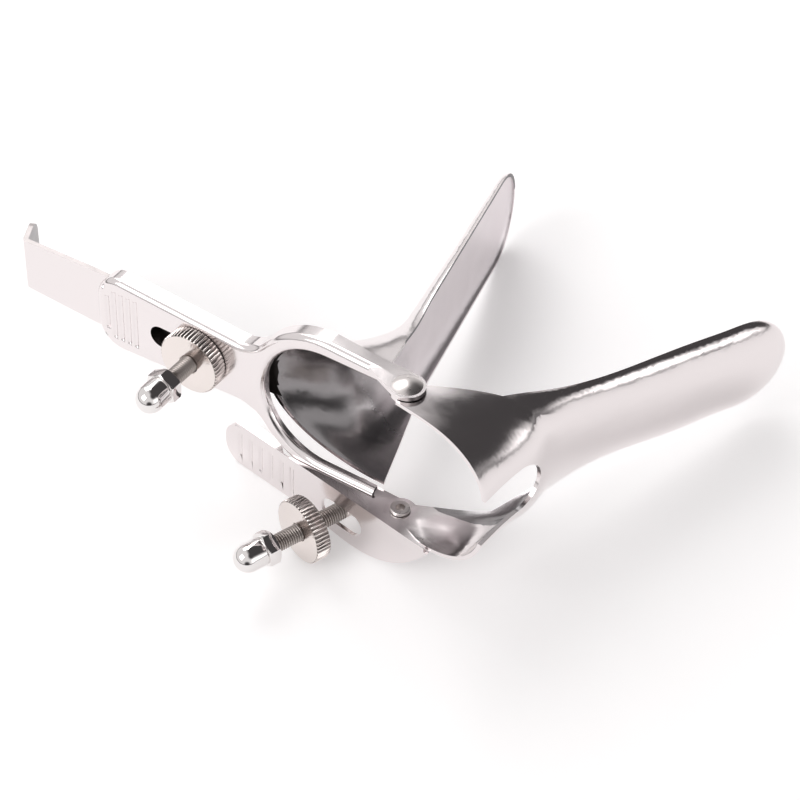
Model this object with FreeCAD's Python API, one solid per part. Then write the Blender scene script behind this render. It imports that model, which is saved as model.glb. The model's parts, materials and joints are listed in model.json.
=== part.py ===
"""Bivalve speculum: a yoke with a channel handle, two blades, two knurled nuts.

Everything is drawn in the instrument frame, in millimetres: X runs forward into
the blades, Z up from the handle to the mouth, and the two ear rivets lie on the
Y axis. The last step lays the finished instrument on its side, as it rests on a
table.
"""
import FreeCAD, Part
import math
import os

Vec = FreeCAD.Vector
X_AXIS = Vec(1, 0, 0)
Y_AXIS = Vec(0, 1, 0)
Z_AXIS = Vec(0, 0, 1)
ORIGIN = Vec(0, 0, 0)

# Sheet and clearances
YOKE_SHEET = 1.3
BLADE_SHEET = 1.2
BAR_THICKNESS = 1.6
SIDE_GAP = 0.3
RUN_GAP = 0.05
FACE_GAP = 0.1

# Yoke: ring, arms, ears and handle
RING_CENTRE_Z = -28.0
RING_OUTER_R = 27.0
RING_WEB = 5.5
RING_INNER_R = RING_OUTER_R - RING_WEB
EAR_STEP = 0.7
EAR_OUTER_Y = RING_OUTER_R - EAR_STEP
EAR_R = 5.3
ARM_WEB_TOP_Z = -10.0
FLANGE_DEPTH = 6.2
EAR_END_DEPTH = 4.8
LIP_DEPTH = 3.0
BEND_R = 2.1
NECK_FILLET_R = 12.0
NECK_HALF_WIDTH = 11.2
NECK_Z = -60.0
GRIP_HALF_WIDTH = 13.8
GRIP_Z = -104.0
HANDLE_END_Z = -111.8
HANDLE_CORNER_R = 9.0

# Handle slot and grip grooves
SLOT_WIDTH = 7.6
SLOT_BOTTOM_Z = -91.0
SLOT_TOP_Z = -63.0
GROOVE_COUNT = 5
GROOVE_PITCH = 2.68
GROOVE_FIRST_Z = -107.4
GROOVE_LENGTH = 19.0
GROOVE_R = 1.0
GROOVE_DEPTH = 0.45

# Lower blade: straight edges, a bend near the mouth, and a steep funnel
LOWER_HALF_WIDTH = 17.8
LOWER_DEPTH = 7.0
LOWER_NOSE_DEPTH = 5.2
LOWER_NOSE_LENGTH = 14.0
LOWER_BEND_X = 44.0
LOWER_BEND_Z = -19.3
LOWER_MOUTH_SLOPE = -0.25
LOWER_EDGE_SLOPE = -0.194
LOWER_TIP_X = 122.0
LOWER_MOUTH_X = FLANGE_DEPTH + 0.4
LOWER_MOUTH_HALF_WIDTH = RING_OUTER_R - 2.8
LOWER_MOUTH_BOTTOM_Z = -53.0

# Upper blade: straight edges, an arched mouth with a cut-out in its crown
UPPER_HALF_WIDTH = 16.7
MOUTH_HALF_WIDTH = EAR_OUTER_Y - YOKE_SHEET - SIDE_GAP
UPPER_DEPTH = 6.2
UPPER_NOSE_LENGTH = 15.0
UPPER_BEND_X = 40.0
UPPER_EDGE_Z = 15.47
UPPER_EDGE_SLOPE = 0.521
UPPER_TIP_X = 104.8
UPPER_CORNER_X = 14.0
UPPER_CROWN_Z = 34.6
BLADE_EAR_R = EAR_R - SIDE_GAP
RIM_X = -6.1
RIM_SLOPE = -0.16
NOTCH_WIDTH = 17.0
NOTCH_END_X = 14.5

# Slide bar of the lower blade
BAR_REAR_X = LIP_DEPTH + 0.4
BAR_NECK_HALF_WIDTH = 8.6
BAR_GRIP_HALF_WIDTH = 10.4
BAR_GRIP_TOP_Z = -100.0
BAR_GRIP_BOTTOM_Z = -116.0
BAR_END_HALF_WIDTH = 9.3
BAR_END_Z = -143.0
TAB_LENGTH = 12.0
TAB_CORNER_R = 5.0
TAB_LEAN_DEG = 26.0

# Thumb lever of the upper blade
LEVER_REAR_X = -7.2
LEVER_LEAN_DEG = 9.26
LEVER_WIDTH = 15.7
LEVER_SHOULDER = 2.1
LEVER_OUTER_Y = -MOUTH_HALF_WIDTH - LEVER_WIDTH
LEVER_TOP_Z = 15.5
LEVER_WAIST_Z = -40.0
LEVER_END_Z = -66.9
LEVER_CORNER_R = 6.5
LEVER_FLANGE_END_Z = -62.0
LEVER_FLANGE_DEPTH = 3.4
LEVER_SLOT_WIDTH = 8.5
LEVER_SLOT_CENTRE_Y = -MOUTH_HALF_WIDTH - 8.8
LEVER_SLOT_LOW_Z = -26.2
LEVER_SLOT_HIGH_Z = -10.0
LEVER_GROOVE_COUNT = 6
LEVER_GROOVE_PITCH = 4.4
LEVER_GROOVE_FIRST_Z = -60.6

# Rivets
RIVET_SHANK_R = 2.0
RIVET_HEAD_R = 4.4
RIVET_HEAD_HEIGHT = 1.2
RIVET_FLARE_R = 3.1
RIVET_FLARE_HEIGHT = 0.9
RIVET_HOLE_R = 1.4

# Studs and nuts
STUD_R = 2.8
NUT_R = 10.35
NUT_THICKNESS = 5.0
NUT_BEVEL = 0.7
NUT_MOUTH = 0.5
ACORN_ACROSS_FLATS = 9.6
ACORN_HEX_LENGTH = 4.0
ACORN_DOME_R = 4.5
ACORN_LENGTH = 13.2
ACORN_BORE_DEPTH = 7.0
HANDLE_STUD_Z = -73.0
HANDLE_ACORN_X = -14.8
HANDLE_NUT_FRONT_X = -0.2
GUIDE_WASHER_R = 6.0
STUD_HEAD_R = 4.8
STUD_HEAD_HEIGHT = 1.5

# Lever stud, its pin and its bracket
PIN_X = 4.0
PIN_Z = -17.3
PIN_R = 1.6
LEVER_STUD_TILT_DEG = 20.0
EYE_R = 4.0
EYE_WIDTH = 6.2
LEVER_ACORN_START = 31.3
LEVER_NUT_FRONT = 17.3
BRACKET_BOSS_R = 3.6
BRACKET_PLATE = 1.5

# Resting attitude on the table
REST_PITCH_DEG = -12.3
REST_ROLL_DEG = -0.7

FAR = 400.0


def line(a, b):
    return Part.LineSegment(a, b).toShape()


def arc(a, b, c):
    return Part.Arc(a, b, c).toShape()


def smooth(points):
    curve = Part.BSplineCurve()
    curve.interpolate(points)
    return curve.toShape()


def prism(points, direction):
    wire = Part.makePolygon(points + [points[0]])
    return Part.Face(wire).extrude(direction)


def rod(radius, start, end):
    axis = end - start
    return Part.makeCylinder(radius, axis.Length, start, axis)


def box(x0, x1, y0, y1, z0, z1):
    return Part.makeBox(x1 - x0, y1 - y0, z1 - z0, Vec(x0, y0, z0))


def mirror_y(shape):
    return shape.mirror(ORIGIN, Y_AXIS)


def yoke_outline(inset):
    """Face of the yoke seen from behind, shrunk by inset on every side."""
    along = Vec(0, GRIP_HALF_WIDTH - NECK_HALF_WIDTH, GRIP_Z - NECK_Z)
    along.normalize()
    outward = Vec(0, -along.z, along.y)
    neck = Vec(0, NECK_HALF_WIDTH, NECK_Z)
    centre = Vec(0, 0, RING_CENTRE_Z)

    # Centre of the concave neck fillet, touching the handle side and the ring
    start = neck + outward * NECK_FILLET_R - centre
    b = start.dot(along)
    c = start.dot(start) - (RING_OUTER_R + NECK_FILLET_R) ** 2
    fillet_centre = centre + start + along * (math.sqrt(b * b - c) - b)
    to_fillet = (fillet_centre - centre).normalize()
    fillet_r = NECK_FILLET_R + inset
    on_handle = fillet_centre - outward * fillet_r
    on_ring = fillet_centre - to_fillet * fillet_r
    middle = (outward + to_fillet).normalize()
    on_fillet = fillet_centre - middle * fillet_r

    # Tangent from the arm top to the ring
    top = Vec(0, EAR_OUTER_Y, ARM_WEB_TOP_Z)
    reach = top - centre
    half_angle = math.acos(RING_OUTER_R / reach.Length)
    angle = math.atan2(reach.z, reach.y) - half_angle
    touch = Vec(0, math.cos(angle), math.sin(angle))
    ring_r = RING_OUTER_R - inset
    arm_touch = centre + touch * ring_r
    arm_top = top - touch * inset + (top - centre - touch * RING_OUTER_R).normalize() * 12
    ring_low = (to_fillet + touch).normalize()
    ring_mid = centre + ring_low * ring_r

    # Rounded corner at the end of the handle
    corner_r = HANDLE_CORNER_R - inset
    corner_z = HANDLE_END_Z + HANDLE_CORNER_R
    depth = (corner_z - neck.z + outward.z * HANDLE_CORNER_R) / along.z
    corner = neck + along * depth - outward * HANDLE_CORNER_R
    corner_side = corner + outward * corner_r
    corner_mid = corner + (outward + Vec(0, 0, -1)).normalize() * corner_r
    corner_end = corner + Vec(0, 0, -corner_r)

    inner_r = RING_INNER_R + inset
    inner_top = Vec(0, inner_r, arm_top.z)
    inner_side = Vec(0, inner_r, RING_CENTRE_Z)
    inner_low = Vec(0, 0, RING_CENTRE_Z - inner_r)

    half = [
        line(inner_side, inner_top),
        line(inner_top, arm_top),
        line(arm_top, arm_touch),
        arc(arm_touch, ring_mid, on_ring),
        arc(on_ring, on_fillet, on_handle),
        line(on_handle, corner_side),
        arc(corner_side, corner_mid, corner_end),
    ]
    edges = half + [mirror_y(edge) for edge in half]
    edges.append(line(corner_end, Vec(0, -corner_end.y, corner_end.z)))
    edges.append(arc(inner_side, inner_low, Vec(0, -inner_r, RING_CENTRE_Z)))
    return Part.Face(Part.Wire(Part.__sortEdges__(edges)))


def rounded_slab(face, rear_x, depth, radius):
    """Slab standing forward from rear_x, its rear edges rounded."""
    slab = face.translated(Vec(rear_x, 0, 0)).extrude(Vec(depth, 0, 0))
    rear = [
        edge for edge in slab.Edges
        if edge.BoundBox.XMax < rear_x + 0.01
        and edge.BoundBox.ZMin < ARM_WEB_TOP_Z
    ]
    return slab.makeFillet(radius, rear)


def yoke_ear(side):
    """Flat ear that carries the rivet, running down into the arm's flange."""
    inner = EAR_OUTER_Y - YOKE_SHEET
    start = Vec(0, inner if side > 0 else -EAR_OUTER_Y, 0)
    width = Vec(0, YOKE_SHEET, 0)
    low = ARM_WEB_TOP_Z - 3
    blade = prism(
        [
            start + Vec(0.0, 0, low),
            start + Vec(EAR_END_DEPTH + 0.8, 0, low),
            start + Vec(EAR_R, 0, 0),
            start + Vec(-EAR_R, 0, 0),
            start + Vec(-EAR_R * 0.95, 0, -1.8),
        ],
        width,
    )
    disc = Part.makeCylinder(EAR_R, YOKE_SHEET, start, Y_AXIS)
    return blade.fuse(disc)


def handle_slot():
    r = SLOT_WIDTH / 2
    low = SLOT_BOTTOM_Z + r
    high = SLOT_TOP_Z - r
    cut = box(-1, LIP_DEPTH, -r, r, low, high)
    for z in (low, high):
        cut = cut.fuse(rod(r, Vec(-1, 0, z), Vec(LIP_DEPTH, 0, z)))
    return cut


def bar_exit():
    """Opening in the end flange where the slide bar leaves the handle."""
    half = BAR_GRIP_HALF_WIDTH + SIDE_GAP
    return box(BAR_REAR_X - SIDE_GAP, 20, -half, half, HANDLE_END_Z - 1, GRIP_Z)


def grip_grooves():
    cutters = []
    for i in range(GROOVE_COUNT):
        z = GROOVE_FIRST_Z + i * GROOVE_PITCH
        length = GROOVE_LENGTH - (5.0 if i == 0 else 0.0)
        x = GROOVE_DEPTH - GROOVE_R
        cutters.append(rod(GROOVE_R, Vec(x, -length / 2, z), Vec(x, length / 2, z)))
    return cutters


def make_yoke():
    outer = rounded_slab(yoke_outline(0), 0, FLANGE_DEPTH, BEND_R)
    hollow = rounded_slab(
        yoke_outline(YOKE_SHEET), YOKE_SHEET, FLANGE_DEPTH, BEND_R - YOKE_SHEET
    )
    yoke = outer.cut(hollow)

    # Inner lip trimmed lower than the outer flange
    lip_r = RING_INNER_R + YOKE_SHEET + 0.6
    lip = rod(lip_r, Vec(LIP_DEPTH, 0, RING_CENTRE_Z), Vec(20, 0, RING_CENTRE_Z))
    lip = lip.fuse(box(LIP_DEPTH, 20, -lip_r, lip_r, RING_CENTRE_Z, 20))
    yoke = yoke.cut(lip)

    # Arms end below the rivets and get shallower towards them
    yoke = yoke.cut(box(-5, 20, -40, 40, ARM_WEB_TOP_Z, 40))
    taper = prism(
        [
            Vec(FLANGE_DEPTH, -50, RING_CENTRE_Z),
            Vec(EAR_END_DEPTH, -50, 0),
            Vec(20, -50, 0),
            Vec(20, -50, RING_CENTRE_Z),
        ],
        Vec(0, 100, 0),
    )
    yoke = yoke.cut(taper)
    yoke = yoke.fuse([yoke_ear(1), yoke_ear(-1)])
    hole_r = RIVET_SHANK_R + RUN_GAP
    yoke = yoke.cut(rod(hole_r, Vec(0, -40, 0), Vec(0, 40, 0)))
    yoke = yoke.cut([handle_slot(), bar_exit()] + grip_grooves())
    return yoke.removeSplitter()


def trough_section(x, half_width, base_z, crown_z, exponent, skirt):
    """Closed cross-section of a blade: an arched crown over straight skirts."""
    rise = crown_z - base_z
    points = []
    steps = 16
    for i in range(steps + 1):
        t = math.pi * i / steps
        c = math.cos(t)
        s = math.sin(t)
        y = half_width * math.copysign(abs(c) ** (2 / exponent), c)
        z = base_z + rise * abs(s) ** (2 / exponent)
        points.append(Vec(x, y, z))
    foot = base_z - math.copysign(skirt, rise)
    right = Vec(x, half_width, foot)
    left = Vec(x, -half_width, foot)
    edges = [
        smooth(points),
        line(points[-1], left),
        line(left, right),
        line(right, points[0]),
    ]
    return Part.Wire(edges)


def trough(stations, thin, skirt):
    """Loft through stations of (x, half width, base, crown, exponent)."""
    wires = []
    for x, half_width, base_z, crown_z, exponent in stations:
        sign = math.copysign(1, crown_z - base_z)
        wires.append(
            trough_section(
                x, half_width - thin, base_z, crown_z - sign * thin, exponent, skirt
            )
        )
    return Part.makeLoft(wires, True, False)


def lower_edge(x):
    slope = LOWER_MOUTH_SLOPE if x < LOWER_BEND_X else LOWER_EDGE_SLOPE
    return LOWER_BEND_Z + slope * (x - LOWER_BEND_X)


def upper_edge(x):
    return UPPER_EDGE_Z + UPPER_EDGE_SLOPE * x


def blend(low, high, share):
    return low + (high - low) * share


def nose_stations(edge, tip_x, length, half_width, depth, thin):
    """Stations that close a blade like the bowl of a spoon."""
    stations = []
    for share in (0.0, 0.34, 0.6, 0.8, 0.92, 0.98, 0.998):
        x = tip_x - thin - (length - thin) * (1 - share)
        fade = math.sqrt(1 - share ** 2)
        width = (half_width - thin) * fade + thin
        stations.append((x, width, edge(x), edge(x) + (depth - thin) * fade + thin, 2.0))
    return stations


# Along the funnel: share of its length, of its widening and of its deepening
LOWER_FUNNEL = (
    (0.0, 1.0, 1.0),
    (0.12, 0.84, 0.74),
    (0.23, 0.72, 0.53),
    (0.36, 0.56, 0.33),
    (0.52, 0.3, 0.18),
    (0.68, 0.08, 0.08),
    (0.84, 0.0, 0.03),
    (1.0, 0.0, 0.01),
)


def lower_body(thin):
    mouth_depth = lower_edge(LOWER_MOUTH_X) - LOWER_MOUTH_BOTTOM_Z
    stations = []
    for along, wide, deep in LOWER_FUNNEL:
        x = blend(LOWER_MOUTH_X, LOWER_BEND_X, along)
        width = blend(LOWER_HALF_WIDTH, LOWER_MOUTH_HALF_WIDTH, wide)
        depth = blend(LOWER_DEPTH, mouth_depth, deep)
        stations.append((x, width, lower_edge(x), lower_edge(x) - depth, 2.0))
    nose_x = LOWER_TIP_X - LOWER_NOSE_LENGTH
    for share in (0.35, 0.7, 0.9):
        x = blend(LOWER_BEND_X, nose_x, share)
        depth = blend(LOWER_DEPTH, LOWER_NOSE_DEPTH, share)
        stations.append((x, LOWER_HALF_WIDTH, lower_edge(x), lower_edge(x) - depth, 2.0))
    for x, width, edge_z, bottom_z, power in nose_stations(
        lower_edge, LOWER_TIP_X, LOWER_NOSE_LENGTH, LOWER_HALF_WIDTH,
        LOWER_NOSE_DEPTH, thin
    ):
        stations.append((x, width, edge_z, 2 * edge_z - bottom_z, power))
    return trough(stations, thin, BLADE_SHEET * (3 if thin else 0.5))


def slide_bar():
    """Flat bar behind the lower blade, with the tab bent forward at its end."""
    x0 = BAR_REAR_X
    x1 = BAR_REAR_X + BAR_THICKNESS
    top = LOWER_MOUTH_BOTTOM_Z - BAR_THICKNESS
    outline = [
        Vec(x0, BAR_NECK_HALF_WIDTH, top),
        Vec(x0, BAR_NECK_HALF_WIDTH, NECK_Z),
        Vec(x0, BAR_GRIP_HALF_WIDTH, BAR_GRIP_TOP_Z),
        Vec(x0, BAR_GRIP_HALF_WIDTH, BAR_GRIP_BOTTOM_Z),
        Vec(x0, BAR_END_HALF_WIDTH, BAR_END_Z),
    ]
    outline += [Vec(p.x, -p.y, p.z) for p in reversed(outline)]
    bar = prism(outline, Vec(BAR_THICKNESS, 0, 0))

    lean = math.radians(TAB_LEAN_DEG)
    out = Vec(math.cos(lean), 0, -math.sin(lean)) * TAB_LENGTH
    up = Vec(math.sin(lean), 0, math.cos(lean)) * BAR_THICKNESS
    start = Vec(x0, -BAR_END_HALF_WIDTH, BAR_END_Z)
    tab = prism([start, start + out, start + out + up, start + up],
                Vec(0, 2 * BAR_END_HALF_WIDTH, 0))
    tips = [
        edge for edge in tab.Edges
        if edge.BoundBox.YLength < 0.01 and edge.Length < BAR_THICKNESS + 0.01
        and edge.CenterOfMass.x > x0 + TAB_LENGTH / 2
    ]
    tab = tab.makeFillet(TAB_CORNER_R, tips)
    bar = bar.fuse(tab)
    heel = [
        edge for edge in bar.Edges
        if edge.BoundBox.XMax < x0 + 0.01
        and abs(edge.BoundBox.ZMin - BAR_END_Z) < 0.01
        and edge.BoundBox.ZLength < 0.01
    ]
    bar = bar.makeFillet(BAR_THICKNESS, heel)

    # Short ramp from the bar forward into the bottom of the mouth
    side = -BAR_NECK_HALF_WIDTH
    ramp_front = LOWER_MOUTH_X + 1.5 * BLADE_SHEET
    mouth_z = LOWER_MOUTH_BOTTOM_Z + BLADE_SHEET
    ramp = prism(
        [
            Vec(x0, side, top - 4 * BAR_THICKNESS),
            Vec(x1, side, top - 4 * BAR_THICKNESS),
            Vec(ramp_front, side, mouth_z),
            Vec(ramp_front, side, mouth_z + 2 * BLADE_SHEET),
            Vec(LOWER_MOUTH_X, side, mouth_z + 2 * BLADE_SHEET),
            Vec(LOWER_MOUTH_X, side, mouth_z),
            Vec(x0, side, top),
        ],
        Vec(0, 2 * BAR_NECK_HALF_WIDTH, 0),
    )
    return bar.fuse(ramp)


def make_lower_blade():
    shell = lower_body(0).fuse(slide_bar()).cut(lower_body(BLADE_SHEET))
    start = LOWER_MOUTH_X - FLANGE_DEPTH
    above = prism(
        [
            Vec(start, -FAR / 2, lower_edge(start)),
            Vec(LOWER_BEND_X, -FAR / 2, LOWER_BEND_Z),
            Vec(FAR, -FAR / 2, lower_edge(FAR)),
            Vec(FAR, -FAR / 2, FAR),
            Vec(start, -FAR / 2, FAR),
        ],
        Vec(0, FAR, 0),
    )
    shell = shell.cut(above)
    hole = rod(STUD_R + RUN_GAP, Vec(0, 0, HANDLE_STUD_Z), Vec(20, 0, HANDLE_STUD_Z))
    return shell.cut(hole).removeSplitter()


# Along the upper mouth: share of the way to the bend, of the widening, of the
# edge height under the arch, of the crown's rise, and the arch's squareness
UPPER_MOUTH = (
    (-0.35, 1.0, 0.0, -0.1, 2.8),
    (-0.1, 1.0, 0.0, 0.0, 2.8),
    (0.15, 1.0, 0.22, 0.15, 2.8),
    (0.35, 0.93, 0.7, 0.3, 2.7),
    (0.65, 0.44, 1.0, 0.47, 2.0),
    (1.0, 0.06, 1.0, 1.0, 2.0),
)


def upper_body(thin):
    bend_crown = upper_edge(UPPER_BEND_X) + UPPER_DEPTH
    stations = []
    for along, wide, base, rise, power in UPPER_MOUTH:
        x = UPPER_BEND_X * along
        width = blend(UPPER_HALF_WIDTH, MOUTH_HALF_WIDTH, wide)
        crown = blend(UPPER_CROWN_Z, bend_crown, rise)
        stations.append((x, width, base * upper_edge(x), crown, power))
    nose_x = UPPER_TIP_X - UPPER_NOSE_LENGTH
    for share in (0.4, 0.8):
        x = blend(UPPER_BEND_X, nose_x, share)
        stations.append((x, UPPER_HALF_WIDTH, upper_edge(x), upper_edge(x) + UPPER_DEPTH, 2.0))
    stations += nose_stations(
        upper_edge, UPPER_TIP_X, UPPER_NOSE_LENGTH, UPPER_HALF_WIDTH, UPPER_DEPTH, thin
    )
    return trough(stations, thin, UPPER_CROWN_Z)


def upper_side_profile():
    """What stays of the upper blade, seen from the side."""
    side = -FAR / 2
    points = [
        Vec(-BLADE_EAR_R, side, 0),
        Vec(BLADE_EAR_R * 0.87, side, BLADE_EAR_R * 0.5),
        Vec(UPPER_CORNER_X, side, upper_edge(UPPER_CORNER_X)),
        Vec(FAR, side, upper_edge(FAR)),
        Vec(FAR, side, FAR),
        Vec(RIM_X + RIM_SLOPE * FAR, side, FAR),
        Vec(RIM_X, side, 0),
    ]
    keep = prism(points, Vec(0, FAR, 0))
    return keep.fuse(rod(BLADE_EAR_R, Vec(0, side, 0), Vec(0, -side, 0)))


def lever_face():
    """Broad face of the thumb lever, drawn upright with its rear face at x = 0."""
    inner = -MOUTH_HALF_WIDTH
    r = LEVER_CORNER_R
    bow = r * (1 - math.sqrt(0.5))
    top = Vec(0, inner, LEVER_TOP_Z)
    inner_low = Vec(0, inner, LEVER_END_Z + r)
    end_inner = Vec(0, inner - r, LEVER_END_Z)
    end_outer = Vec(0, LEVER_OUTER_Y + r, LEVER_END_Z)
    outer_low = Vec(0, LEVER_OUTER_Y, LEVER_END_Z + r)
    waist = Vec(0, LEVER_OUTER_Y, LEVER_WAIST_Z)
    bulge = LEVER_OUTER_Y - LEVER_SHOULDER
    shoulder = [
        waist,
        Vec(0, LEVER_OUTER_Y - LEVER_SHOULDER * 0.35, LEVER_WAIST_Z * 0.7),
        Vec(0, bulge, LEVER_WAIST_Z * 0.3),
        Vec(0, bulge + LEVER_WIDTH * 0.14, LEVER_WAIST_Z * 0.05),
        Vec(0, bulge + LEVER_WIDTH * 0.46, LEVER_TOP_Z * 0.41),
        Vec(0, bulge + LEVER_WIDTH * 0.81, LEVER_TOP_Z * 0.76),
        top,
    ]
    edges = [
        line(top, inner_low),
        arc(inner_low, Vec(0, inner - bow, LEVER_END_Z + bow), end_inner),
        line(end_inner, end_outer),
        arc(end_outer, Vec(0, LEVER_OUTER_Y + bow, LEVER_END_Z + bow), outer_low),
        line(outer_low, waist),
        smooth(shoulder),
    ]
    face = Part.Face(Part.Wire(edges)).extrude(Vec(BLADE_SHEET, 0, 0))

    half = LEVER_SLOT_WIDTH / 2
    y = LEVER_SLOT_CENTRE_Y
    low = LEVER_SLOT_LOW_Z + half
    high = LEVER_SLOT_HIGH_Z - half
    deep = 2 * BLADE_SHEET
    face = face.cut(box(-deep, deep, y - half, y + half, low, high))
    for z in (low, high):
        face = face.cut(rod(half, Vec(-deep, y, z), Vec(deep, y, z)))

    for i in range(LEVER_GROOVE_COUNT):
        z = LEVER_GROOVE_FIRST_Z + i * LEVER_GROOVE_PITCH
        x = GROOVE_DEPTH - GROOVE_R
        start = Vec(x, inner - 2 * BLADE_SHEET, z)
        face = face.cut(rod(GROOVE_R, start, Vec(x, LEVER_OUTER_Y + BLADE_SHEET, z)))
    face.rotate(ORIGIN, Y_AXIS, -LEVER_LEAN_DEG)
    face.translate(Vec(LEVER_REAR_X, 0, 0))
    return face


def lever_flange():
    """Stiffening flange of the lever, clear behind the yoke's arm and ring."""
    lean = math.tan(math.radians(LEVER_LEAN_DEG))

    def rear(z):
        return LEVER_REAR_X - lean * z

    y = -MOUTH_HALF_WIDTH
    ring_drop = math.sqrt(RING_OUTER_R ** 2 - (MOUTH_HALF_WIDTH - BLADE_SHEET) ** 2)
    clear_z = RING_CENTRE_Z - ring_drop - SIDE_GAP
    step_z = clear_z - LEVER_FLANGE_DEPTH
    return prism(
        [
            Vec(rear(LEVER_TOP_Z - 1.5), y, LEVER_TOP_Z - 1.5),
            Vec(rear(LEVER_FLANGE_END_Z), y, LEVER_FLANGE_END_Z),
            Vec(rear(LEVER_FLANGE_END_Z) + LEVER_FLANGE_DEPTH, y, LEVER_FLANGE_END_Z + 2),
            Vec(rear(step_z) + LEVER_FLANGE_DEPTH, y, step_z),
            Vec(-SIDE_GAP, y, clear_z),
            Vec(-SIDE_GAP, y, ARM_WEB_TOP_Z),
            Vec(BLADE_EAR_R * 0.87, y, -BLADE_EAR_R * 0.5),
            Vec(BLADE_EAR_R * 0.87, y, BLADE_EAR_R * 0.5),
            Vec(0, y, LEVER_TOP_Z - 1.5),
        ],
        Vec(0, BLADE_SHEET, 0),
    )


def make_upper_blade():
    shell = upper_body(0).cut(upper_body(BLADE_SHEET))
    shell = shell.common(upper_side_profile())
    notch_r = NOTCH_WIDTH / 2
    notch_x = NOTCH_END_X - notch_r
    notch = box(-30, notch_x, -notch_r, notch_r, 22, 60)
    notch = notch.fuse(rod(notch_r, Vec(notch_x, 0, 22), Vec(notch_x, 0, 60)))
    shell = shell.cut(notch)
    blade = shell.fuse([lever_face(), lever_flange()])
    hole_r = RIVET_SHANK_R + RUN_GAP
    blade = blade.cut(rod(hole_r, Vec(0, -40, 0), Vec(0, 40, 0)))
    return blade.removeSplitter()


def make_rivet(side):
    """Semi-tubular rivet: domed head outside, flared tail inside."""
    tail_y = EAR_OUTER_Y - YOKE_SHEET - BLADE_SHEET - 2 * SIDE_GAP
    end_y = tail_y - RIVET_FLARE_HEIGHT
    sphere_r = (RIVET_HEAD_R ** 2 + RIVET_HEAD_HEIGHT ** 2) / (2 * RIVET_HEAD_HEIGHT)
    centre_y = EAR_OUTER_Y + RIVET_HEAD_HEIGHT - sphere_r
    head = Part.makeSphere(sphere_r, Vec(0, centre_y, 0))
    head = head.common(rod(RIVET_HEAD_R, Vec(0, EAR_OUTER_Y, 0), Vec(0, 50, 0)))
    shank = rod(RIVET_SHANK_R, Vec(0, end_y, 0), Vec(0, EAR_OUTER_Y, 0))
    flare = rod(RIVET_FLARE_R, Vec(0, end_y, 0), Vec(0, tail_y, 0))
    rim = [edge for edge in flare.Edges if edge.BoundBox.YMax < end_y + 0.01]
    flare = flare.makeFillet(RIVET_FLARE_HEIGHT * 0.6, rim)
    hole = rod(RIVET_HOLE_R, Vec(0, end_y - 1, 0), Vec(0, tail_y + YOKE_SHEET, 0))
    rivet = head.fuse([shank, flare]).cut(hole).removeSplitter()
    return rivet if side > 0 else mirror_y(rivet)


def knurled_nut():
    """Knurled nut on the X axis, front face at x = 0, its bore eased at both ends."""
    body = rod(NUT_R, ORIGIN, Vec(-NUT_THICKNESS, 0, 0))
    body = body.makeChamfer(NUT_BEVEL, [e for e in body.Edges if e.Length > NUT_R])
    bore_r = STUD_R + RUN_GAP
    nut = body.cut(rod(bore_r, Vec(1, 0, 0), Vec(-NUT_THICKNESS - 1, 0, 0)))
    rims = [e for e in nut.Edges if e.BoundBox.XLength < 0.01 and e.BoundBox.YMax < NUT_R / 2]
    return nut.makeChamfer(NUT_MOUTH, rims).removeSplitter()


def acorn_nut():
    """Domed cap nut on the X axis, hexagon in front, dome to the rear."""
    corner = ACORN_ACROSS_FLATS / 2 / math.cos(math.pi / 6)
    corners = []
    for i in range(6):
        angle = math.radians(60 * i)
        corners.append(Vec(0, corner * math.cos(angle), corner * math.sin(angle)))
    hexagon = prism(corners, Vec(-ACORN_HEX_LENGTH, 0, 0))
    bevel_r = corner - 0.15
    cone = Part.makeCone(
        bevel_r + ACORN_HEX_LENGTH * 1.6, bevel_r - 0.7, ACORN_HEX_LENGTH,
        ORIGIN, Vec(-1, 0, 0)
    )
    hexagon = hexagon.common(cone)
    neck = ACORN_LENGTH - ACORN_DOME_R
    barrel = rod(ACORN_DOME_R, Vec(-1, 0, 0), Vec(-neck, 0, 0))
    dome = Part.makeSphere(ACORN_DOME_R, Vec(-neck, 0, 0))
    nut = hexagon.fuse([barrel, dome])
    bore = rod(STUD_R + RUN_GAP, Vec(1, 0, 0), Vec(-ACORN_BORE_DEPTH, 0, 0))
    return nut.cut(bore).removeSplitter()


def make_handle_stud():
    """Stud through the slide bar, with a guide that runs in the handle slot."""
    z = HANDLE_STUD_Z
    bar_front = BAR_REAR_X + BAR_THICKNESS
    guide_r = SLOT_WIDTH / 2 - RUN_GAP
    end_x = HANDLE_ACORN_X - ACORN_BORE_DEPTH
    stud = rod(STUD_R, Vec(bar_front, 0, z), Vec(end_x, 0, z))
    head = rod(STUD_HEAD_R, Vec(bar_front, 0, z), Vec(bar_front + STUD_HEAD_HEIGHT, 0, z))
    rim = [e for e in head.Edges if e.BoundBox.XMin > bar_front + 1]
    head = head.makeChamfer(0.4, rim)
    guide = rod(guide_r, Vec(BAR_REAR_X, 0, z), Vec(FACE_GAP, 0, z))
    washer = rod(GUIDE_WASHER_R, Vec(BAR_REAR_X, 0, z), Vec(YOKE_SHEET + FACE_GAP, 0, z))
    return stud.fuse([head, guide, washer]).removeSplitter()


def along_lever_stud(shape):
    """Turn a piece drawn on the X axis onto the lever stud's axis."""
    moved = shape.copy()
    moved.rotate(ORIGIN, Y_AXIS, -LEVER_STUD_TILT_DEG)
    moved.translate(Vec(PIN_X, LEVER_SLOT_CENTRE_Y, PIN_Z))
    return moved


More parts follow.
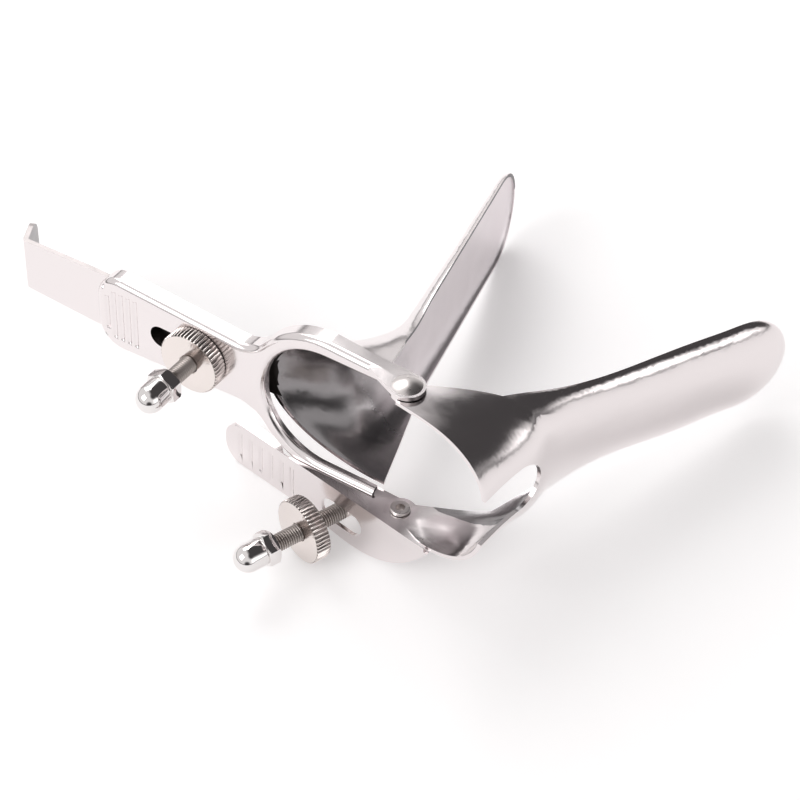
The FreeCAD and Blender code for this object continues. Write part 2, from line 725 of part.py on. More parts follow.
def make_lever_stud():
    end_x = -LEVER_ACORN_START - ACORN_BORE_DEPTH
    shank = rod(STUD_R, ORIGIN, Vec(end_x, 0, 0))
    eye = rod(EYE_R, Vec(0, -EYE_WIDTH / 2, 0), Vec(0, EYE_WIDTH / 2, 0))
    bore = rod(PIN_R + RUN_GAP, Vec(0, -EYE_WIDTH, 0), Vec(0, EYE_WIDTH, 0))
    return along_lever_stud(shank.fuse(eye).cut(bore).removeSplitter())


def make_bracket():
    """Boss plate on the outside of the yoke's arm, holding the pin."""
    wall = -arm_half_width(PIN_Z)
    eye_side = LEVER_SLOT_CENTRE_Y + EYE_WIDTH / 2 + FACE_GAP
    plate = box(0.6, 6.0, wall - BRACKET_PLATE, wall + 0.4, PIN_Z - 6, PIN_Z + 6)
    boss = rod(BRACKET_BOSS_R, Vec(PIN_X, wall, PIN_Z), Vec(PIN_X, eye_side, PIN_Z))
    bracket = plate.fuse(boss)
    bore = rod(PIN_R + RUN_GAP, Vec(PIN_X, wall + 2, PIN_Z), Vec(PIN_X, -50, PIN_Z))
    return bracket.cut(bore).removeSplitter()


def arm_half_width(z):
    """Outer half width of the yoke between the ring and the ears."""
    top = Vec(0, EAR_OUTER_Y, ARM_WEB_TOP_Z)
    reach = top - Vec(0, 0, RING_CENTRE_Z)
    angle = math.atan2(reach.z, reach.y) - math.acos(RING_OUTER_R / reach.Length)
    return (RING_OUTER_R - (z - RING_CENTRE_Z) * math.sin(angle)) / math.cos(angle)


def make_pin():
    wall = -arm_half_width(PIN_Z)
    eye_far = LEVER_SLOT_CENTRE_Y - EYE_WIDTH / 2 - FACE_GAP
    near = wall - FACE_GAP
    pin = rod(PIN_R, Vec(PIN_X, near, PIN_Z), Vec(PIN_X, eye_far, PIN_Z))
    head = rod(PIN_R + 1.2, Vec(PIN_X, eye_far, PIN_Z), Vec(PIN_X, eye_far - 1.2, PIN_Z))
    rim = [e for e in head.Edges if e.BoundBox.YMax < eye_far - 1]
    head = head.makeFillet(0.8, rim)
    return pin.fuse(head).removeSplitter()


def on_handle_stud(shape, x):
    return shape.translated(Vec(x, 0, HANDLE_STUD_Z))


def build():
    yoke = make_yoke()
    bracket = make_bracket().cut(yoke)
    nut = knurled_nut()
    acorn = acorn_nut()
    return {
        "yoke_frame": yoke,
        "posterior_blade": make_lower_blade(),
        "anterior_blade": make_upper_blade(),
        "pivot_rivet_left": make_rivet(1),
        "pivot_rivet_right": make_rivet(-1),
        "handle_stud": make_handle_stud(),
        "handle_knurled_nut": on_handle_stud(nut, HANDLE_NUT_FRONT_X),
        "handle_acorn_nut": on_handle_stud(acorn, HANDLE_ACORN_X),
        "stud_bracket": bracket,
        "stud_pin": make_pin(),
        "lever_stud": make_lever_stud(),
        "lever_knurled_nut": along_lever_stud(nut.translated(Vec(-LEVER_NUT_FRONT, 0, 0))),
        "lever_acorn_nut": along_lever_stud(acorn.translated(Vec(-LEVER_ACORN_START, 0, 0))),
    }


def lay_on_table(parts):
    """Turn the instrument onto its side and set it on the table at the origin."""
    turn = FreeCAD.Rotation(Vec(1, 1, 1), 120)
    pitch = FreeCAD.Rotation(X_AXIS, REST_PITCH_DEG)
    roll = FreeCAD.Rotation(Y_AXIS, REST_ROLL_DEG)
    rest = FreeCAD.Placement(ORIGIN, roll.multiply(pitch).multiply(turn))
    placed = {}
    for name, shape in parts.items():
        copy = shape.copy()
        copy.transformShape(rest.toMatrix(), True)
        placed[name] = copy
    bounds = Part.makeCompound(list(placed.values())).optimalBoundingBox()
    shift = Vec(
        -(bounds.XMin + bounds.XMax) / 2,
        -(bounds.YMin + bounds.YMax) / 2,
        -bounds.ZMin,
    )
    for shape in placed.values():
        shape.translate(shift)
    print("rest rotation", rest.Rotation.Q)
    print("rest shift", tuple(round(v, 4) for v in shift))
    return placed


os.makedirs("parts", exist_ok=True)
for name, shape in lay_on_table(build()).items():
    solids = shape.Solids
    print(name, len(solids), round(shape.Volume, 1), shape.isValid())
    body = solids[0] if len(solids) == 1 else shape
    body.exportStep("parts/" + name + ".step")
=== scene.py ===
"""Dressed model of the bivalve speculum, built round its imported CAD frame."""
import json
import math
import bpy
from mathutils import Matrix, Vector

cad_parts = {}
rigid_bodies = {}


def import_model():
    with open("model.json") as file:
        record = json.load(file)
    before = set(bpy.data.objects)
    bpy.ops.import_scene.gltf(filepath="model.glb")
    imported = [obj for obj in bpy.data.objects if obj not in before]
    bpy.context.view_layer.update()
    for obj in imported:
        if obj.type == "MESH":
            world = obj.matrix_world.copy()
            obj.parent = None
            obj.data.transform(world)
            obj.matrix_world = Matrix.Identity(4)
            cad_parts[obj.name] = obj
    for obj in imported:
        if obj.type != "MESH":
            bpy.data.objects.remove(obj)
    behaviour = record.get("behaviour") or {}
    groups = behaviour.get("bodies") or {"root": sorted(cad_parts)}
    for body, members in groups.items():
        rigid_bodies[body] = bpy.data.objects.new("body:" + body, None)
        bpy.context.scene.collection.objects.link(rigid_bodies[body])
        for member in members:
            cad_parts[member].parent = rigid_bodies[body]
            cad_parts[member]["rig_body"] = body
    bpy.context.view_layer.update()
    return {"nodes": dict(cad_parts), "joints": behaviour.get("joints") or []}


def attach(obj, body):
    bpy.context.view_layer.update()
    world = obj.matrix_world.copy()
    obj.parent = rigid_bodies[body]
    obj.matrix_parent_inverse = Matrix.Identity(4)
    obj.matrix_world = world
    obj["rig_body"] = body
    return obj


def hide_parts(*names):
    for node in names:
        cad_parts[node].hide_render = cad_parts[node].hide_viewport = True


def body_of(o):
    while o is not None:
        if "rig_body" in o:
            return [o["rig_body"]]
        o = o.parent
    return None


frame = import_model()


# --- The instrument's own axes ------------------------------------------------
# The ear rivets lie on one axis across the instrument, and the lower blade
# slides along the handle. Both come from the frame's joints, and the sizes
# below are millimetres from the point midway between the rivets.
joints = {joint["name"]: joint for joint in frame["joints"]}
pivot = Vector(joints["anterior_pivot"]["pos_m"])
across = Vector(joints["anterior_pivot"]["axis"]).normalized()
upright = Vector(joints["blade_slide"]["axis"]).normalized()
forward = across.cross(upright).normalized()


def spot(x, y, z):
    """Point x forward, y across and z up from the pivot, in metres."""
    return pivot + (forward * x + across * y + upright * z) / 1000


# --- Camera -------------------------------------------------------------------
# Stands behind and above the lever side, 0.6 m away, as the photograph does.
camera_data = bpy.data.cameras.new("camera")
camera_data.sensor_width = 36
camera_data.lens = 94.5
camera_data.clip_start = 0.01
camera_data.clip_end = 20
camera = bpy.data.objects.new("camera", camera_data)
camera_right = Vector((0.84275, 0.53480, -0.06425))
camera_up = Vector((-0.39907, 0.69958, 0.59286))
camera_back = Vector((0.36203, -0.47487, 0.80216))
camera.matrix_world = Matrix.Translation((0.24905, -0.31321, 0.53320)) @ Matrix(
    (camera_right, camera_up, camera_back)
).transposed().to_4x4()
bpy.context.scene.collection.objects.link(camera)
bpy.context.scene.camera = camera


# --- Polished sheet steel -----------------------------------------------------
# Stainless steel sheet, pressed and then polished: a soft mirror with a faint
# warm grey cast, fine hairlines left by the polishing mop, and hazy patches.
def linear(hexadecimal):
    """sRGB hex colour as linear red, green, blue and alpha."""
    values = [int(hexadecimal[i:i + 2], 16) / 255 for i in (1, 3, 5)]
    turned = [v / 12.92 if v <= 0.04045 else ((v + 0.055) / 1.055) ** 2.4 for v in values]
    return (*turned, 1.0)


def add_node(tree, kind, settings=None, links=None):
    """Node of one kind, its settings and sockets set, fed by the given outputs."""
    node = tree.nodes.new(kind)
    for name, value in (settings or {}).items():
        if isinstance(name, int) or name in node.inputs:
            node.inputs[name].default_value = value
        else:
            setattr(node, name, value)
    for name, output in (links or {}).items():
        tree.links.new(output, node.inputs[name])
    return node


def metal(name, colour, roughness, haze, haze_mm, scratch_mm, scratch_depth_mm, wave_mm=0.0):
    """Metal with hazy patches haze_mm wide, hairlines scratch_mm apart and a
    surface that the press left wavy by wave_mm over about a centimetre."""
    material = bpy.data.materials.new(name)
    material.use_nodes = True
    tree = material.node_tree
    tree.nodes.clear()
    place = add_node(tree, "ShaderNodeTexCoord")
    patches = add_node(
        tree, "ShaderNodeTexNoise",
        {"Scale": 1000 / haze_mm, "Detail": 4.0, "Roughness": 0.6},
        {"Vector": place.outputs["Object"]},
    )
    duller = add_node(
        tree, "ShaderNodeMapRange",
        {"From Min": 0.35, "From Max": 0.7, "To Min": roughness, "To Max": roughness + haze},
        {"Value": patches.outputs["Fac"]},
    )
    stretch = add_node(
        tree, "ShaderNodeMapping",
        {"Scale": (1000 / scratch_mm, 40 / scratch_mm, 300 / scratch_mm),
         "Rotation": (0.3, 0.2, 0.5)},
        {"Vector": place.outputs["Object"]},
    )
    hairlines = add_node(
        tree, "ShaderNodeTexNoise",
        {"Scale": 1.0, "Detail": 3.0, "Roughness": 0.7},
        {"Vector": stretch.outputs["Vector"]},
    )
    bump = add_node(
        tree, "ShaderNodeBump",
        {"Strength": 0.25, "Distance": scratch_depth_mm / 1000},
        {"Height": hairlines.outputs["Fac"]},
    )
    swell = add_node(
        tree, "ShaderNodeTexNoise", {"Scale": 1000 / 11, "Detail": 1.0},
        {"Vector": place.outputs["Object"]},
    )
    wavy = add_node(
        tree, "ShaderNodeBump", {"Strength": 1.0, "Distance": wave_mm / 1000},
        {"Height": swell.outputs["Fac"], "Normal": bump.outputs["Normal"]},
    )
    normal = wavy if wave_mm else bump
    shader = add_node(
        tree, "ShaderNodeBsdfPrincipled",
        {"Base Color": linear(colour), "Metallic": 1.0},
        {"Roughness": duller.outputs["Result"], "Normal": normal.outputs["Normal"]},
    )
    add_node(tree, "ShaderNodeOutputMaterial", links={"Surface": shader.outputs["BSDF"]})
    return material


polished_sheet_steel = metal(
    "polished_sheet_steel", "#E6E0E0", 0.11, 0.10, 22, 0.5, 0.004, wave_mm=0.08
)


def coat(thing, material):
    """Give the piece its main material."""
    if thing.data.materials:
        thing.data.materials[0] = material
    else:
        thing.data.materials.append(material)


join_distance = 0.00001
sharp_from = math.radians(34)


def deselect():
    bpy.ops.object.select_all(action="DESELECT")


def smooth_copy(node, name, material):
    """Copy of a CAD node with its facets joined and shaded smooth between edges."""
    deselect()
    source = frame["nodes"][node]
    piece = bpy.data.objects.new(name, source.data.copy())
    bpy.context.scene.collection.objects.link(piece)
    bpy.context.view_layer.objects.active = piece
    piece.select_set(True)
    bpy.ops.object.mode_set(mode="EDIT")
    bpy.ops.mesh.select_all(action="SELECT")
    bpy.ops.mesh.remove_doubles(threshold=join_distance)
    bpy.ops.mesh.customdata_custom_splitnormals_clear()
    bpy.ops.object.mode_set(mode="OBJECT")
    bpy.ops.object.shade_smooth_by_angle(angle=sharp_from)
    flatter = piece.modifiers.new("flat faces stay flat", "WEIGHTED_NORMAL")
    flatter.keep_sharp = True
    bpy.ops.object.modifier_apply(modifier=flatter.name)
    piece.data.materials.clear()
    coat(piece, material)
    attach(piece, body_of(source)[0])
    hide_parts(node)
    return piece


def local(point):
    """A point's millimetres forward, across and up from the pivot."""
    away = (point - pivot) * 1000
    return away.dot(forward), away.dot(across), away.dot(upright)


# --- Yoke with its channel handle ---------------------------------------------
# One sheet steel pressing: a ring between two arms, drawn down into a channel
# handle with a slot and five pressed grip lines, whose ends run out in a slope.
grip_end_slope_mm = 1.0
yoke = smooth_copy("yoke_frame", "yoke_pressing", polished_sheet_steel)
for vertex in yoke.data.vertices:
    x, y, z = local(vertex.co)
    if 0.03 < x < 0.6 and -109 < z < -95 and 6.5 < abs(y) < 10:
        vertex.co -= across * math.copysign(grip_end_slope_mm, y) / 1000


# --- Inner faces of the blades ------------------------------------------------
# Inside the mouth the mop can't reach, so the steel stays duller and scuffed,
# and its colour is painted darker there as shade, clearing towards the tips.
dulled_and_shaded_inner_steel = metal(
    "dulled_and_shaded_inner_steel", "#B4ADAA", 0.20, 0.16, 9, 0.4, 0.010, wave_mm=0.5
)
inner_tree = dulled_and_shaded_inner_steel.node_tree
inner_place = add_node(inner_tree, "ShaderNodeTexCoord")
distance = add_node(
    inner_tree, "ShaderNodeVectorMath", {"operation": "DOT_PRODUCT", 1: forward},
    {0: inner_place.outputs["Object"]},
)
scuff_and_shade_noise = add_node(
    inner_tree, "ShaderNodeTexNoise", {"Scale": 1000 / 6.0, "Detail": 6.0, "Roughness": 0.7},
    {"Vector": inner_place.outputs["Object"]},
)
ragged = add_node(
    inner_tree, "ShaderNodeMath", {"operation": "MULTIPLY_ADD", 1: 0.012},
    {0: scuff_and_shade_noise.outputs["Fac"], 2: distance.outputs["Value"]},
)
shade_fade = add_node(
    inner_tree, "ShaderNodeMapRange",
    {"From Min": pivot.dot(forward) + 0.022, "From Max": pivot.dot(forward) + 0.050},
    {"Value": ragged.outputs["Value"]},
)
# The inner colour is painted shade: dark near the mouth, clearing to bright steel towards the
# tips.
inner_shade_colour = add_node(
    inner_tree, "ShaderNodeMix",
    {"data_type": "RGBA", 6: linear("#8E8B8C"), 7: linear("#EEE8EA")},
    {"Factor": shade_fade.outputs["Result"]},
)
softer = add_node(
    inner_tree, "ShaderNodeMapRange", {"To Min": 0.22, "To Max": 0.42},
    {"Value": shade_fade.outputs["Result"]},
)
inner_shader = inner_tree.nodes["Principled BSDF"]
inner_tree.links.new(inner_shade_colour.outputs[2], inner_shader.inputs["Base Color"])
inner_tree.links.new(softer.outputs["Result"], inner_shader.inputs["Roughness"])
inner_half_width_mm = 24.5
inside_slot = 1


def dull_and_shade_inside(piece, start, edge_height):
    """Give faces that look towards the blade's middle line the inner finish and its painted
    shade.
    """
    piece.data.materials.append(dulled_and_shaded_inner_steel)
    for face in piece.data.polygons:
        x, y, z = local(face.center)
        if x < start or abs(y) > inner_half_width_mm:
            continue
        middle = spot(x, 0, edge_height(x))
        if face.normal.dot((middle - face.center).normalized()) > 0.35:
            face.material_index = inside_slot


# --- Lower blade with its slide bar -------------------------------------------
# A pressed trough whose mouth runs down into a flat bar behind the handle. Its
# sheared edges stay satin, the trough's upper one has a painted dark reflection,
# and the unpolished bar is painted dark as shade where it runs in the channel, so the slot looks
# dark.
lower_blade = smooth_copy(
    "posterior_blade", "lower_blade_pressing", polished_sheet_steel
)
dull_and_shade_inside(lower_blade, -12, lambda x: -19.3 - 0.22 * (x - 44) + 4)
sheared_edge = metal("sheared_edge", "#B8B2B1", 0.38, 0.08, 3, 0.3, 0.006)
# The trough's upper sheared edge is painted dark as a reflection of dark surroundings.
painted_dark_reflection_edge = metal("painted_dark_reflection_edge", "#5C595B", 0.30, 0.08, 3, 0.3, 0.006)
# The bar's face is painted dark as shade in the band where it lies in the channel; outside the
# band it keeps the polished colour.
bar_painted_shade = metal("unpolished_bar_painted_shade", "#262322", 0.40, 0.10, 6, 0.4, 0.006)
bar_tree = bar_painted_shade.node_tree
bar_place = add_node(bar_tree, "ShaderNodeTexCoord")
height = add_node(
    bar_tree, "ShaderNodeVectorMath", {"operation": "DOT_PRODUCT", 1: upright},
    {0: bar_place.outputs["Object"]},
)
off_slot = add_node(
    bar_tree, "ShaderNodeMath", {"operation": "SUBTRACT", 1: pivot.dot(upright) - 0.0712},
    {0: height.outputs["Value"]},
)
spread = add_node(
    bar_tree, "ShaderNodeMath", {"operation": "ABSOLUTE"}, {0: off_slot.outputs["Value"]}
)
channel_shade_mask = add_node(
    bar_tree, "ShaderNodeMapRange",
    {"From Min": 0.0245, "From Max": 0.0255, "To Min": 1.0, "To Max": 0.0},
    {"Value": spread.outputs["Value"]},
)
bar_shade_colour = add_node(
    bar_tree, "ShaderNodeMix",
    {"data_type": "RGBA", 6: linear("#E6E0E0"), 7: linear("#262322")},
    {"Factor": channel_shade_mask.outputs["Result"]},
)
bar_sheen = add_node(
    bar_tree, "ShaderNodeMapRange", {"To Min": 0.13, "To Max": 0.40},
    {"Value": channel_shade_mask.outputs["Result"]},
)
bar_shader = bar_tree.nodes["Principled BSDF"]
bar_tree.links.new(bar_shade_colour.outputs[2], bar_shader.inputs["Base Color"])
bar_tree.links.new(bar_sheen.outputs["Result"], bar_shader.inputs["Roughness"])
for finish in (sheared_edge, painted_dark_reflection_edge, bar_painted_shade):
    lower_blade.data.materials.append(finish)
sheared_slot, dark_reflection_slot, bar_shade_slot = 2, 3, 4
for face in lower_blade.data.polygons:
    x, y, z = local(face.center)
    if z < -55 and abs(face.normal.dot(across)) > 0.8:
        face.material_index = sheared_slot
    # painted shade on the bar's face behind the slot
    elif z < -40 and face.normal.dot(forward) < -0.9:
        face.material_index = bar_shade_slot
    # painted dark reflection along the trough's upper edge
    elif x > 20 and y > 0 and face.material_index == 0 and face.normal.dot(upright) > 0.6:
        face.material_index = dark_reflection_slot


# --- Upper blade with its thumb lever -----------------------------------------
# A pressed trough that turns on the ears, its lever standing out on one side.
# The small flat faces at the ends of the lever's grip lines become slopes.
upper_blade = smooth_copy(
    "anterior_blade", "upper_blade_pressing", polished_sheet_steel
)
dull_and_shade_inside(upper_blade, 6, lambda x: 10 + 0.52 * max(x, 0))
below_surface = 0.00003
largest_end_face = 1.2e-6
groove_ends = set()
for face in upper_blade.data.polygons:
    x, y, z = local(face.center)
    small = face.area < largest_end_face
    if z < -25 and y < -36.5 and small and abs(face.normal.dot(across)) > 0.97:
        groove_ends.add(tuple(face.vertices))
outward = max(
    (face for face in upper_blade.data.polygons if face.normal.dot(forward) < -0.8),
    key=lambda face: face.area,
).normal.copy()
for corners in groove_ends:
    heights = [upper_blade.data.vertices[i].co.dot(outward) for i in corners]
    for i, height in zip(corners, heights):
        if height < max(heights) - below_surface:
            upper_blade.data.vertices[i].co += across * grip_end_slope_mm / 1000


# --- Rivets, bracket and pin --------------------------------------------------
# Domed steel rivets hold the ears, their tails flared inside the blade. A small
# bracket on the arm holds the pin that the lever's stud swings on.
rivet_steel = metal("satin_rivet_steel", "#DAD4D2", 0.26, 0.08, 4, 0.3, 0.006)
for side in ("left", "right"):
    smooth_copy("pivot_rivet_" + side, "ear_rivet_" + side, rivet_steel)
bracket_steel = metal("tumbled_bracket_steel", "#BDB7B4", 0.22, 0.12, 5, 0.3, 0.004)
smooth_copy("stud_bracket", "stud_bracket_plate", bracket_steel)
smooth_copy("stud_pin", "swivel_pin", rivet_steel)


# --- Threaded studs -----------------------------------------------------------
# Nickel plated screws with a rolled 0.8 mm thread. One is fixed in the slide
# bar and its collar runs in the handle's slot; the other has an eye on the pin.
# The flanks near the threads' roots are painted darker and duller than the crests, as shade.
nickel_plate = metal("nickel_plate", "#E4DCD8", 0.12, 0.06, 5, 0.3, 0.002)
recess_painted_shade = metal("nickel_recess_painted_shade", "#8F8884", 0.30, 0.10, 4, 0.3, 0.004)
thread_radius = 2.8
thread_depth = 0.49
thread_pitch = 0.8


def darken(piece, lowest_mm, highest_mm):
    """Painted shade, a darker and duller finish, on faces between two radii, apart from the
    ends.
    """
    piece.data.materials.append(recess_painted_shade)
    for face in piece.data.polygons:
        radius = math.hypot(face.center.x, face.center.y) * 1000
        if lowest_mm < radius < highest_mm and -0.9 < face.normal.z < 0.9:
            face.material_index = 1


def turned(name, stations, sides=64):
    """Turned ring or knob drawn along z through stations of radius and height in mm."""
    deselect()
    radius, height = stations[0]
    bpy.ops.mesh.primitive_circle_add(
        vertices=sides, radius=radius / 1000, location=(0, 0, height / 1000)
    )
    piece = bpy.context.object
    piece.name = name
    bpy.ops.object.transform_apply(location=True)
    bpy.ops.object.mode_set(mode="EDIT")
    bpy.ops.mesh.select_all(action="SELECT")
    for next_radius, next_height in stations[1:]:
        bpy.ops.mesh.extrude_region_move(
            TRANSFORM_OT_translate={"value": (0, 0, (next_height - height) / 1000)}
        )
        ratio = next_radius / radius
        bpy.ops.transform.resize(
            value=(ratio, ratio, 1), center_override=(0, 0, next_height / 1000)
        )
        radius, height = next_radius, next_height
    bpy.ops.mesh.select_all(action="SELECT")
    bpy.ops.mesh.remove_doubles(threshold=0.000002)
    bpy.ops.mesh.select_all(action="DESELECT")
    bpy.ops.mesh.select_non_manifold()
    bpy.ops.mesh.fill_holes(sides=0)
    bpy.ops.mesh.select_all(action="SELECT")
    bpy.ops.mesh.normals_make_consistent(inside=False)
    bpy.ops.object.mode_set(mode="OBJECT")
    coat(piece, nickel_plate)
    return piece


def thread(name, start, end):
    """Rolled thread along z between two heights in mm."""
    root = thread_radius - thread_depth
    turn_profile = [(root, 0), (thread_radius, 0.33), (thread_radius, 0.42), (root, 0.74),
                    (root, thread_pitch)]
    mesh = bpy.data.meshes.new(name)
    mesh.from_pydata(
        [(r / 1000, 0, (start + h) / 1000) for r, h in turn_profile],
        [(i, i + 1) for i in range(len(turn_profile) - 1)],
        [],
    )
    piece = bpy.data.objects.new(name, mesh)
    bpy.context.scene.collection.objects.link(piece)
    deselect()
    piece.select_set(True)
    bpy.context.view_layer.objects.active = piece
    helix = piece.modifiers.new("helix", "SCREW")
    helix.axis = "Z"
    helix.screw_offset = thread_pitch / 1000
    helix.iterations = round((end - start) / thread_pitch)
    helix.steps = helix.render_steps = 36
    helix.use_merge_vertices = True
    bpy.ops.object.modifier_apply(modifier=helix.name)
    bpy.ops.object.mode_set(mode="EDIT")
    bpy.ops.mesh.select_all(action="SELECT")
    bpy.ops.mesh.remove_doubles(threshold=0.000002)
    bpy.ops.mesh.select_all(action="DESELECT")
    bpy.ops.mesh.select_non_manifold()
    bpy.ops.mesh.fill_holes(sides=0)
    bpy.ops.mesh.select_all(action="SELECT")
    bpy.ops.mesh.normals_make_consistent(inside=False)
    bpy.ops.object.mode_set(mode="OBJECT")
    coat(piece, nickel_plate)
    return piece


def ease(piece, bevel_mm):
    """Break the piece's sharp edges and shade the rest smooth."""
    deselect()
    piece.select_set(True)
    bpy.context.view_layer.objects.active = piece
    bevel = piece.modifiers.new("eased edges", "BEVEL")
    bevel.width = bevel_mm / 1000
    bevel.segments = 2
    bevel.limit_method = "ANGLE"
    bevel.angle_limit = math.radians(32)
    bpy.ops.object.modifier_apply(modifier=bevel.name)
    bpy.ops.object.shade_smooth_by_angle(angle=math.radians(32))


def seat(pieces, place, along):
    """Join pieces drawn on the z axis and set them at a place, z turned along."""
    deselect()
    for piece in pieces:
        piece.select_set(True)
    bpy.context.view_layer.objects.active = pieces[0]
    if len(pieces) > 1:
        bpy.ops.object.join()
    side = (across - along * across.dot(along)).normalized()
    turn = Matrix((side, along.cross(side), along)).transposed().to_4x4()
    pieces[0].matrix_world = Matrix.Translation(place) @ turn
    bpy.ops.object.transform_apply(location=True, rotation=True, scale=True)
    return pieces[0]


def dress(piece, node, material):
    """Finish a piece that stands for a CAD node: material, slot and body."""
    coat(piece, material)
    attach(piece, body_of(frame["nodes"][node])[0])
    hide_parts(node)


handle_rearward = Vector(joints["handle_nut_travel"]["axis"]).normalized()
lever_rearward = Vector(joints["lever_nut_travel"]["axis"]).normalized()
handle_screw_place = spot(0, 0, -73)
lever_pin_place = spot(4, -33.5, -17.3)

collar = turned("handle_screw", [
    (0.6, -6.5), (4.3, -6.5), (4.8, -6.1), (4.8, -5.0), (2.8, -5.0), (2.8, -3.4), (6.0, -3.4),
    (6.0, -1.4), (3.75, -1.4), (3.75, -0.1), (2.3, -0.1), (2.3, 0.6), (0.6, 0.6),
])
ease(collar, 0.12)
handle_thread = thread("handle_thread", 0.2, 18.6)
ease(handle_thread, 0.03)
darken(handle_thread, 1.5, 2.6)
seat([collar, handle_thread], handle_screw_place, handle_rearward)
dress(collar, "handle_stud", nickel_plate)

eye = turned("lever_screw", [
    (1.65, -3.1), (3.6, -3.1), (4.0, -2.7), (4.0, 2.7), (3.6, 3.1), (1.65, 3.1), (1.65, -3.1),
])
ease(eye, 0.1)
seat([eye], lever_pin_place, across)
neck = turned("lever_screw_neck", [(0.6, 2.2), (2.8, 2.2), (2.8, 5.4), (2.4, 5.8), (0.6, 5.8)])
ease(neck, 0.1)
lever_thread = thread("lever_thread", 5.2, 35.6)
ease(lever_thread, 0.03)
darken(lever_thread, 1.5, 2.6)
seat([neck, lever_thread], lever_pin_place, lever_rearward)
deselect()
neck.select_set(True)
eye.select_set(True)
bpy.context.view_layer.objects.active = eye
bpy.ops.object.join()
dress(eye, "lever_stud", nickel_plate)


# --- Knurled nuts -------------------------------------------------------------
# Flat turned nuts, nickel plated, with a coarse straight knurl rolled
# into the rim: fifty rounded ridges, each 1.3 mm wide, the grooves 0.6 mm deep.
knurl_ridges = 50
knurl_depth = 0.62
rim_radius = 10.35


def knurled_nut(name, front, place, along):
    """Knurled disc, front millimetres along a stud from its place."""
    profile = [(2.85, 0.45), (3.3, 0.0), (9.95, 0.0), (rim_radius, 0.35),
               (rim_radius, 4.65), (9.95, 5.0), (3.3, 5.0), (2.85, 4.55), (2.85, 0.45)]
    nut = turned(name, profile, sides=4 * knurl_ridges)
    squeeze = 1 - knurl_depth / rim_radius
    for vertex in nut.data.vertices:
        x, y, z = vertex.co
        if math.hypot(x, y) * 1000 > rim_radius - 0.1:
            step = round(math.atan2(y, x) / math.tau * 4 * knurl_ridges) % 4
            if step in (2, 3):
                vertex.co = (x * squeeze, y * squeeze, z)
    ease(nut, 0.08)
    # painted shade in the knurl's valleys
    darken(nut, rim_radius - 0.85, rim_radius - 0.35)
    return seat([nut], place + along * front / 1000, along)


handle_nut = knurled_nut("handle_nut", 0.2, handle_screw_place, handle_rearward)
dress(handle_nut, "handle_knurled_nut", nickel_plate)
lever_nut = knurled_nut("lever_nut", 17.3, lever_pin_place, lever_rearward)
dress(lever_nut, "lever_knurled_nut", nickel_plate)


# --- Cap nuts -----------------------------------------------------------------
# Domed hexagon nuts, bright nickel plated, screwed tight on the studs' ends so
# that the knurled nuts can't come off.
bright_nickel_plate = metal("bright_nickel_plate", "#E6E3E2", 0.04, 0.03, 4, 0.3, 0.001)
across_flats = 9.6


def cap_nut(name, front, place, along):
    """Hexagon and dome, front millimetres along a stud from its place."""
    deselect()
    bpy.ops.mesh.primitive_cylinder_add(
        vertices=6, radius=across_flats / 2000 / math.cos(math.pi / 6), depth=0.004,
        location=(0, 0, 0.002), rotation=(0, 0, math.radians(30)),
    )
    hexagon = bpy.context.object
    bpy.ops.object.transform_apply(location=True, rotation=True)
    chamfer = turned(name + "_chamfer", [
        (0.2, -0.01), (4.9, -0.01), (5.7, 0.5), (5.7, 3.4), (4.8, 4.01), (0.2, 4.01)
    ], sides=96)
    cut = hexagon.modifiers.new("chamfered corners", "BOOLEAN")
    cut.operation = "INTERSECT"
    cut.object = chamfer
    bpy.context.view_layer.objects.active = hexagon
    bpy.ops.object.modifier_apply(modifier=cut.name)
    bpy.data.objects.remove(chamfer)
    ease(hexagon, 0.12)
    coat(hexagon, nickel_plate)
    dome = [(4.5 * math.cos(math.radians(a)), 8.7 + 4.5 * math.sin(math.radians(a)))
            for a in range(0, 88, 4)]
    barrel = turned(name, [(0.2, 3.8), (4.35, 3.8), (4.4, 4.4), (4.5, 5.2)] + dome
                    + [(0.05, 13.2)])
    barrel.data.shade_smooth()
    return seat([barrel, hexagon], place + along * front / 1000, along)


handle_cap_nut = cap_nut("handle_cap_nut", 14.8, handle_screw_place, handle_rearward)
dress(handle_cap_nut, "handle_acorn_nut", bright_nickel_plate)
lever_cap_nut = cap_nut("lever_cap_nut", 31.3, lever_pin_place, lever_rearward)
dress(lever_cap_nut, "lever_acorn_nut", bright_nickel_plate)


# --- Table and light ----------------------------------------------------------
# A plain pale table top under the instrument, in a soft daylight studio.
floor_colour = linear("#F8F7F7")
deselect()
bpy.ops.mesh.primitive_plane_add(size=6, location=(0, 0, 0))
table_top = bpy.context.object
table_top.name = "table_top"
paper = bpy.data.materials.new("matt_white_card")
paper.use_nodes = True
paper_shader = paper.node_tree.nodes["Principled BSDF"]
paper_shader.inputs["Base Color"].default_value = floor_colour
paper_shader.inputs["Roughness"].default_value = 0.9
paper_shader.inputs["Emission Color"].default_value = floor_colour
paper_shader.inputs["Emission Strength"].default_value = 0.24
coat(table_top, paper)

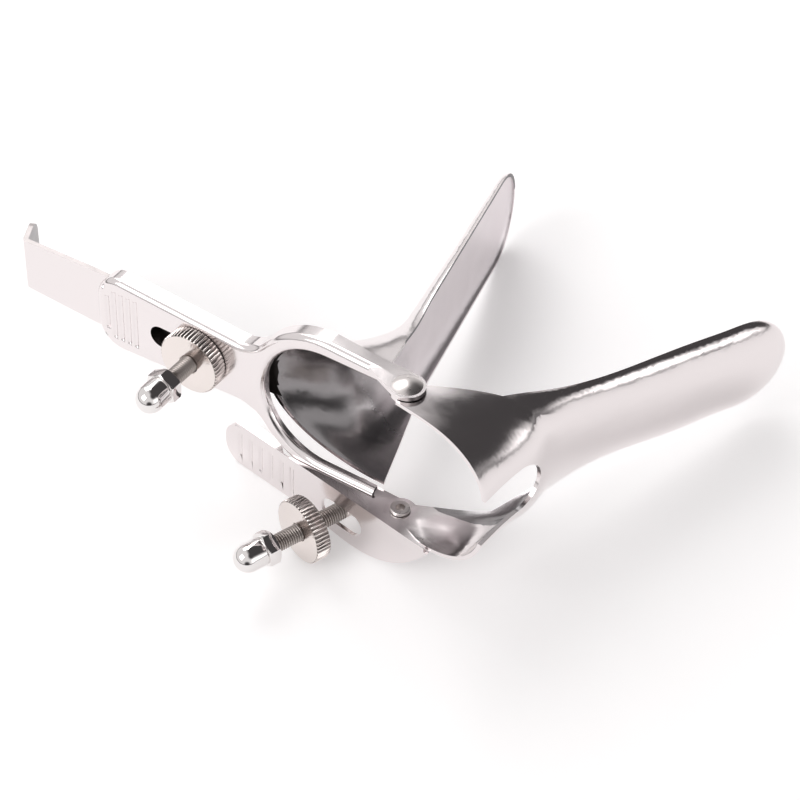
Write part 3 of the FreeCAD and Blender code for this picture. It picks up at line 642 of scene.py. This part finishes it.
# The tent round the table is white, with a dark hem, a bright patch ahead of the
# blades and three dark openings: a wide one at the far right, one above it and
# one low beside the handle. They give the steel its darks.
world = bpy.data.worlds.new("white_tent")
world.use_nodes = True
tent = world.node_tree
direction = add_node(tent, "ShaderNodeTexCoord")
skirt = add_node(
    tent, "ShaderNodeVectorMath", {"operation": "DOT_PRODUCT", 1: (0, 0, 1)},
    {0: direction.outputs["Generated"]},
)
hem = add_node(
    tent, "ShaderNodeMapRange",
    {"From Min": 0.03, "From Max": 0.12, "To Min": 0.12, "To Max": 1.0},
    {"Value": skirt.outputs["Value"]},
)
openness = hem.outputs["Result"]
for centre, inner, outer in (
    ((0.35, 0.66, 0.67), 32, 50), ((0.57, 0.05, 0.82), 14, 28), ((0.49, -0.85, 0.16), 12, 24)
):
    towards = add_node(
        tent, "ShaderNodeVectorMath",
        {"operation": "DOT_PRODUCT", 1: Vector(centre).normalized()},
        {0: direction.outputs["Generated"]},
    )
    cap = add_node(
        tent, "ShaderNodeMapRange",
        {"From Min": math.cos(math.radians(outer)), "From Max": math.cos(math.radians(inner)),
         "To Min": 1.0, "To Max": 0.0},
        {"Value": towards.outputs["Value"]},
    )
    both = add_node(tent, "ShaderNodeMath", {"operation": "MULTIPLY"},
                    {0: openness, 1: cap.outputs["Result"]})
    openness = both.outputs["Value"]
tent_colour = add_node(
    tent, "ShaderNodeMix", {"data_type": "RGBA", 6: linear("#4C4A4B"), 7: linear("#F8F6F6")},
    {"Factor": openness},
)
tent.links.new(tent_colour.outputs[2], tent.nodes["Background"].inputs["Color"])
window = add_node(
    tent, "ShaderNodeVectorMath",
    {"operation": "DOT_PRODUCT", 1: Vector((1.0, 0.05, 0.25)).normalized()},
    {0: direction.outputs["Generated"]},
)
glow = add_node(
    tent, "ShaderNodeMapRange",
    {"From Min": math.cos(math.radians(34)), "From Max": math.cos(math.radians(8)),
     "To Min": 0.92, "To Max": 1.9},
    {"Value": window.outputs["Value"]},
)
tent.links.new(glow.outputs["Result"], tent.nodes["Background"].inputs["Strength"])
bpy.context.scene.world = world


def softbox(name, location, target, width, height, power):
    """Rectangular soft light at a place, facing a target."""
    data = bpy.data.lights.new(name, "AREA")
    data.shape = "RECTANGLE"
    data.size = width
    data.size_y = height
    data.energy = power
    lamp = bpy.data.objects.new(name, data)
    lamp.location = location
    lamp.rotation_euler = (Vector(target) - Vector(location)).to_track_quat("-Z", "Y").to_euler()
    bpy.context.scene.collection.objects.link(lamp)


softbox("far_softbox", (-0.80, 0.70, 1.0), (0, 0, 0), 0.9, 0.9, 7)
softbox("near_softbox", (-0.55, -0.95, 1.0), (0, 0, 0), 0.8, 0.8, 5)

bpy.context.scene.view_settings.view_transform = "Standard"
